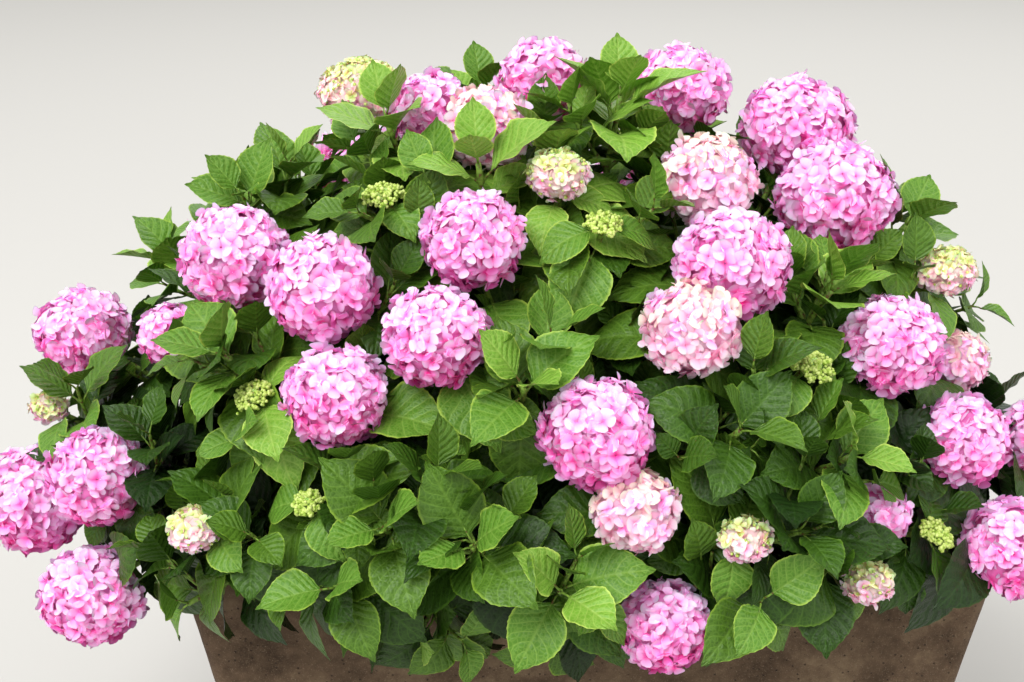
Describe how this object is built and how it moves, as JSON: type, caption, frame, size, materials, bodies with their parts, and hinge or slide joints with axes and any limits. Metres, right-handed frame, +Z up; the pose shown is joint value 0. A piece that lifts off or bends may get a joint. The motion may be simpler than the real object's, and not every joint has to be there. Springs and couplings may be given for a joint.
{
  "type": "potted mophead hydrangea",
  "caption": "Bushy mophead hydrangea with round flower heads and large ovate leaves, growing in a long tapered cast-stone trough planter filled with soil.",
  "frame": {"origin": "on the centre of the flat underside of the trough, at ground level", "axes": "+X along the length of the trough, to the right as seen in the picture; +Y from the viewer towards the back; +Z up"},
  "size_m": [1.3893, 0.9708, 1.0499],
  "materials": {
    "stone": "weathered cast stone, matte",
    "soil": "dark moist potting soil, matte",
    "bark": "flaky buff-brown bark, matte",
    "foliage": "soft green leaves with pink flower heads, satin"
  },
  "bodies": {
    "root": {"planter_trough": "stone", "soil": "soil", "woody_stool": "bark", "stem_back_left": "bark", "foliage_back_left": "foliage", "stem_back_left_end": "bark", "foliage_back_left_end": "foliage", "stem_back_middle": "bark", "foliage_back_middle": "foliage", "stem_back_right": "bark", "foliage_back_right": "foliage", "stem_back_right_end": "bark", "foliage_back_right_end": "foliage", "stem_front_left": "bark", "foliage_front_left": "foliage", "stem_front_middle": "bark", "foliage_front_middle": "foliage", "stem_front_right": "bark", "foliage_front_right": "foliage", "stem_left_end": "bark", "foliage_left_end": "foliage", "stem_left_shoulder": "bark", "foliage_left_shoulder": "foliage", "stem_right_end": "bark", "foliage_right_end": "foliage", "stem_top_left": "bark", "foliage_top_left": "foliage", "stem_top_middle": "bark", "foliage_top_middle": "foliage", "stem_top_right": "bark", "foliage_top_right": "foliage", "stem_upper_back_left": "bark", "foliage_upper_back_left": "foliage", "stem_upper_back_right": "bark", "foliage_upper_back_right": "foliage", "stem_upper_left": "bark", "foliage_upper_left": "foliage", "stem_upper_right": "bark", "foliage_upper_right": "foliage"}
  },
  "joints": []
}
